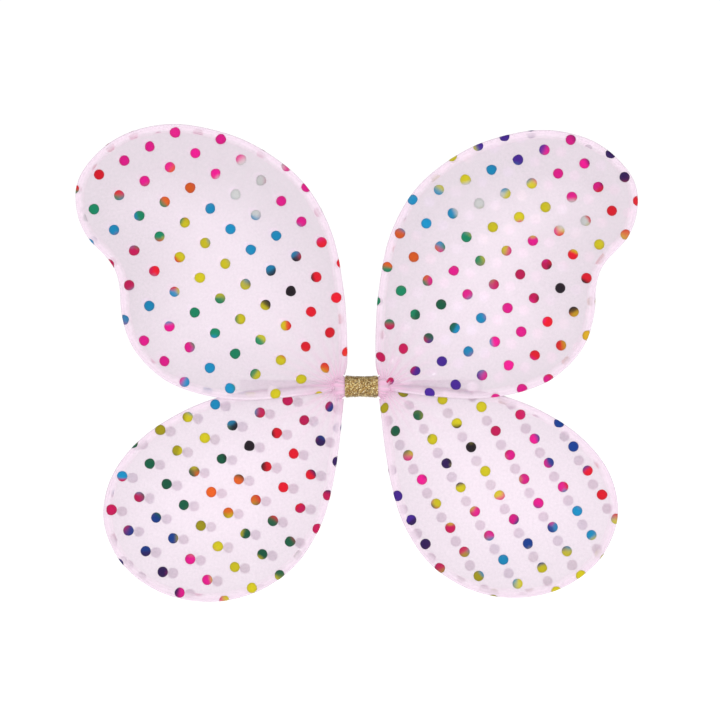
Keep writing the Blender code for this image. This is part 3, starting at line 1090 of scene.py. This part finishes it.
def add_band(settings, base, flake_material):
    """The glitter cloth wrap, crinkled in front and flat behind, under its loose flakes."""
    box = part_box("glitter_band")
    high = box[1]
    bm = bmesh.new()
    bmesh.ops.create_cone(bm, segments=96, radius1=1, radius2=1, depth=2 * high.x,
                          matrix=Matrix.Rotation(math.pi / 2, 4, "Y"))
    ribs = [e for e in bm.edges if abs(e.verts[0].co.x - e.verts[1].co.x) > high.x]
    bmesh.ops.subdivide_edges(bm, edges=ribs, cuts=23, use_grid_fill=True)
    for v in bm.verts:
        around = math.atan2(v.co.z, -v.co.y)
        crinkle = noise.noise(Vector((v.co.x * 260, math.cos(around) * 2, math.sin(around) * 2)))
        crinkled = 0.35 if abs(around) < BAND_BACK else 0
        swell = (crinkled * crinkle - 0.25) * MM
        uneven = 0.25 * MM * noise.noise(Vector((0, around * 3, v.co.x * 90)))
        v.co = band_section(box, v.co.x + uneven, around, swell)
    mesh = mesh_from(bm, "glitter_wrap")
    obj = add_piece("glitter_wrap", mesh, "glitter", base)
    wall = obj.modifiers.new("wall", "SOLIDIFY")
    wall.thickness = 0.7 * MM
    wall.offset = -1
    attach(obj, "centre")
    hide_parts("glitter_band")

    pick = random.Random(7)
    shades = [srgb(*shade) for shade in FLAKE_SHADES]
    weights = list(FLAKE_SHADES.values())
    bm = bmesh.new()
    colour_layer = bm.verts.layers.float_color.new("foil")
    for _ in range(settings.flakes):
        x = pick.uniform(-0.985, 0.985) * high.x
        around = pick.uniform(-math.pi, math.pi)
        place = band_section(box, x, around, 0.12 * MM)
        normal = (band_section(box, x, around, 1 * MM) - band_section(box, x, around)).normalized()
        lean = Vector([pick.uniform(-0.55, 0.55) for _ in range(3)])
        turn = (normal + lean).to_track_quat("Z", "Y").to_matrix().to_4x4()
        size = settings.flake * pick.uniform(0.7, 1.25)
        made = bmesh.ops.create_circle(bm, cap_ends=True, segments=6, radius=size,
                                       matrix=Matrix.Translation(place) @ turn)
        # The grains that lean over the top and bottom folds catch less light
        turned = 1 - 0.42 * abs(math.sin(around)) ** 2
        shade = [c * turned for c in pick.choices(shades, weights)[0]]
        for v in made["verts"]:
            v[colour_layer] = (*shade, 1)
    flakes = add_piece("glitter_flakes", mesh_from(bm, "glitter_flakes", smooth=False), "glitter",
                       flake_material)
    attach(flakes, "centre")
    return obj


def loop_line(settings, points=96):
    """The arm loop's centre line along +X from its root, as a drop."""
    widest = 0.77
    reach = settings.width / 2 / widest
    ply = 0.6 * MM
    line = [Vector((-1.2 * MM, ply)), Vector((0, ply))]
    for i in range(4, points - 3):
        t = 2 * math.pi * i / points
        line.append(Vector((settings.length * (1 - math.cos(t)) / 2,
                            reach * math.sin(t) * math.sin(t / 2))))
    return line + [Vector((0, -ply)), Vector((-1.2 * MM, -ply))]


def add_strap(name, side, settings, material):
    """One elastic arm loop: a flat strip on edge with rounded borders."""
    joint = next(j for j in frame["joints"] if j["child"] == name + "_strap")
    root = Vector((joint["pos_m"][0], joint["pos_m"][1]))
    lean = STRAP_LEAN if side > 0 else math.pi - STRAP_LEAN
    line = [root + Vector((p.x * math.cos(lean) - p.y * math.sin(lean),
                           p.x * math.sin(lean) + p.y * math.cos(lean)))
            for p in evenly_spaced(loop_line(settings), 2.5 * MM)]
    bm = bmesh.new()
    cut = bm.verts.layers.float_vector.new("cut")
    half_height, half_thick = 4.9 * MM, 0.42 * MM
    ring = [bm.verts.new((0, 0, 0)) for _ in ELASTIC_SECTION]
    edges = [bm.edges.new((a, b)) for a, b in zip(ring, ring[1:] + ring[:1])]
    gone = 0.0
    for i, place in enumerate(line):
        ahead = (line[min(i + 1, len(line) - 1)] - line[max(i - 1, 0)]).normalized()
        across = Vector((ahead.y, -ahead.x))
        if i:
            grown = bmesh.ops.extrude_edge_only(bm, edges=edges)["geom"]
            edges = [g for g in grown if isinstance(g, bmesh.types.BMEdge)]
            ring = sorted((g for g in grown if isinstance(g, bmesh.types.BMVert)),
                          key=lambda v: round(v[cut].z))
            gone += (place - line[i - 1]).length
        for k, (v, (high, thick)) in enumerate(zip(ring, ELASTIC_SECTION)):
            spot = place + across * thick * half_thick
            v.co = (spot.x, spot.y, high * half_height)
            v[cut] = (gone, (high + 1) / 2, k)
    bmesh.ops.holes_fill(bm, edges=[e for e in bm.edges if e.is_boundary], sides=0)
    bmesh.ops.recalc_face_normals(bm, faces=bm.faces)
    mesh = mesh_from(bm, name + "_elastic")
    lay_flat_map(mesh)
    obj = add_piece(mesh.name, mesh, "elastic", material)
    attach(obj, name + "_strap")
    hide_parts(name + "_arm_loop")
    return obj


# Operators


class FAIRY_OT_fabrics(bpy.types.Operator):
    """Cut, gather, stretch and hem the two sheer faces of each wing, and press on their dots"""

    bl_idname = "fairy_wings.fabrics"
    bl_label = "Make Fabrics"

    def execute(self, context):
        cloth = context.scene.fairy_fabric
        foil = context.scene.fairy_foil
        show = foil_finish("foil_show")
        for name in WING_NAMES:
            wing = Wing(name)
            # Painted light and shade of the open cloth, set for the upper and the lower wings
            painted_shading = UPPER_PAINTED_SHADING if wing.up > 0 else LOWER_PAINTED_SHADING
            # Painted light: the upper wings' back dots show the pale underside, painted as lit from above
            back_kind = "pale" if wing.up > 0 else "grey"
            for facing in ("front", "back"):
                material = sheer_finish(f"sheer_{name}_{facing}", cloth.tint, cloth.blush,
                                        WING_COVER, painted_shading)
                fabric = add_fabric(wing, facing, cloth, material)
                area, (width, length) = flat_area(fabric.data)
                under = underside_finish("foil_under_" + name + facing,
                                         "tinted" if facing == "front" else back_kind)
                dots = add_dots(fabric, wing, facing, foil, show, under)
        return {"FINISHED"}


class FAIRY_OT_hems(bpy.types.Operator):
    """Roll the cloth casing on to each wire loop"""

    bl_idname = "fairy_wings.hems"
    bl_label = "Make Hems"

    def execute(self, context):
        material = coated_finish("hem_cloth", (0.95, 0.86, 0.94), 300, 0.5)
        for name in WING_NAMES:
            add_hem(Wing(name), material)
        return {"FINISHED"}


class FAIRY_OT_gathers(bpy.types.Operator):
    """Bunch the cloth between the band and the wings"""

    bl_idname = "fairy_wings.gathers"
    bl_label = "Make Gathers"

    def execute(self, context):
        cloth = context.scene.fairy_fabric
        # Painted light and shade of the bunched cloth at the neck
        material = sheer_finish("sheer_gathers", cloth.tint, cloth.blush, NECK_COVER, NECK_PAINTED_SHADING)
        for name, side in SIDES.items():
            neck, flat = add_neck(name, side, material)
        return {"FINISHED"}


class FAIRY_OT_band(bpy.types.Operator):
    """Wrap the centre in gold glitter cloth"""

    bl_idname = "fairy_wings.band"
    bl_label = "Make Glitter Band"

    def execute(self, context):
        band = context.scene.fairy_band
        add_band(band, glitter_finish("glitter_cloth", tuple(band.gold)), flake_finish("flakes"))
        return {"FINISHED"}


class FAIRY_OT_straps(bpy.types.Operator):
    """Hang the elastic arm loops"""

    bl_idname = "fairy_wings.straps"
    bl_label = "Make Arm Loops"

    def execute(self, context):
        strap = context.scene.fairy_strap
        material = elastic_finish("knitted_elastic", strap.ribs)
        for name, side in SIDES.items():
            add_strap(name, side, strap, material)
        return {"FINISHED"}


class FAIRY_OT_core(bpy.types.Operator):
    """Finish the wires, tape, gathered ends and elastic ends that the frame already shapes"""

    bl_idname = "fairy_wings.core"
    bl_label = "Finish Core"

    def execute(self, context):
        finishes = {
            "wire": coated_finish("coated_wire", (0.93, 0.88, 0.93), 500, 0.25),
            "tape": coated_finish("binding_tape", (0.88, 0.86, 0.84), 220, 0.45),
            "cloth": coated_finish("gathered_ends", (0.86, 0.66, 0.78), 260, 0.55),
            "elastic": coated_finish("elastic_ends", (0.92, 0.92, 0.93), 400, 0.6),
        }
        for name, node in frame["nodes"].items():
            if node.hide_render:
                continue
            kind = ("wire" if "wire" in name else "tape" if "tape" in name
                    else "elastic" if "loop" in name else "cloth")
            node.data.materials.clear()
            node.data.materials.append(finishes[kind])
        return {"FINISHED"}


class FAIRY_OT_stage(bpy.types.Operator):
    """Set the pale floor, the lights and the camera"""

    bl_idname = "fairy_wings.stage"
    bl_label = "Set Stage"

    def execute(self, context):
        stage = context.scene.fairy_stage
        bm = bmesh.new()
        floor_place = Matrix.Translation((0, 0, CAD_BOX[0].z - 80 * MM))
        bmesh.ops.create_grid(bm, x_segments=4, y_segments=4, size=12, matrix=floor_place)
        floor = bpy.data.objects.new("pale_floor", mesh_from(bm, "pale_floor"))
        context.scene.collection.objects.link(floor)
        paper = Finish("paper", Roughness=0.9, Emission_Strength=0.42, Emission_Color=(1, 1, 1, 1))
        grain = paper.noise(paper.place(), 60, 3)
        floor.data.materials.append(paper.feed(
            Base_Color=paper.mix(grain * 0.2, (0.93, 0.93, 0.93), (0.9, 0.9, 0.9))))

        for name, (place, size, power) in LAMPS.items():
            lamp = bpy.data.lights.new(name, "AREA")
            lamp.size = size
            lamp.energy = power
            light = bpy.data.objects.new(name, lamp)
            light.location = place
            light.rotation_euler = (-Vector(place)).to_track_quat("-Z", "Y").to_euler()
            context.scene.collection.objects.link(light)
        world = bpy.data.worlds.new("studio")
        world.use_nodes = True
        nodes = world.node_tree.nodes
        nodes["Background"].inputs["Color"].default_value = (1, 1, 1, 1)
        rays = nodes.new("ShaderNodeLightPath")
        shine = nodes.new("ShaderNodeMapRange")
        shine.inputs["To Min"].default_value = SURROUND_SHINE
        shine.inputs["To Max"].default_value = SURROUND_SEEN
        world.node_tree.links.new(rays.outputs["Is Camera Ray"], shine.inputs["Value"])
        world.node_tree.links.new(shine.outputs[0], nodes["Background"].inputs["Strength"])
        context.scene.world = world
        context.scene.view_settings.view_transform = "Standard"
        context.scene.cycles.transparent_max_bounces = 24

        camera = bpy.data.objects.new("camera", bpy.data.cameras.new("camera"))
        camera.data.lens = camera.data.sensor_width * stage.distance / stage.view_width
        camera.location = (CAMERA_AIM[0], -stage.distance, CAMERA_AIM[1])
        camera.rotation_euler = Euler((math.pi / 2, 0, 0))
        context.scene.collection.objects.link(camera)
        context.scene.camera = camera
        return {"FINISHED"}


class FAIRY_PT_panel(bpy.types.Panel):
    """The wings' pieces, in the order they are made"""

    bl_label = "Fairy Wings"
    bl_idname = "FAIRY_PT_panel"
    bl_space_type = "VIEW_3D"
    bl_region_type = "UI"
    bl_category = "Fairy Wings"

    def draw(self, context):
        for group in SETTINGS:
            settings = getattr(context.scene, group)
            for name in settings.bl_rna.properties.keys():
                if name not in ("name", "rna_type"):
                    self.layout.prop(settings, name)
        for operator in OPERATORS:
            self.layout.operator(operator.bl_idname)


SETTINGS = {
    "fairy_fabric": FabricSettings,
    "fairy_foil": FoilSettings,
    "fairy_band": BandSettings,
    "fairy_strap": StrapSettings,
    "fairy_stage": StageSettings,
}
OPERATORS = (FAIRY_OT_fabrics, FAIRY_OT_hems, FAIRY_OT_gathers, FAIRY_OT_band, FAIRY_OT_straps,
             FAIRY_OT_core, FAIRY_OT_stage)


def register():
    for cls in (*SETTINGS.values(), *OPERATORS, FAIRY_PT_panel):
        bpy.utils.register_class(cls)
    for name, cls in SETTINGS.items():
        setattr(bpy.types.Scene, name, PointerProperty(type=cls))


def unregister():
    for name in SETTINGS:
        delattr(bpy.types.Scene, name)
    for cls in (FAIRY_PT_panel, *reversed(OPERATORS), *SETTINGS.values()):
        bpy.utils.unregister_class(cls)


def main():
    register()
    for operator in OPERATORS:
        getattr(bpy.ops.fairy_wings, operator.bl_idname.split(".")[1])()
    bpy.context.view_layer.update()


if __name__ == "__main__":
    main()
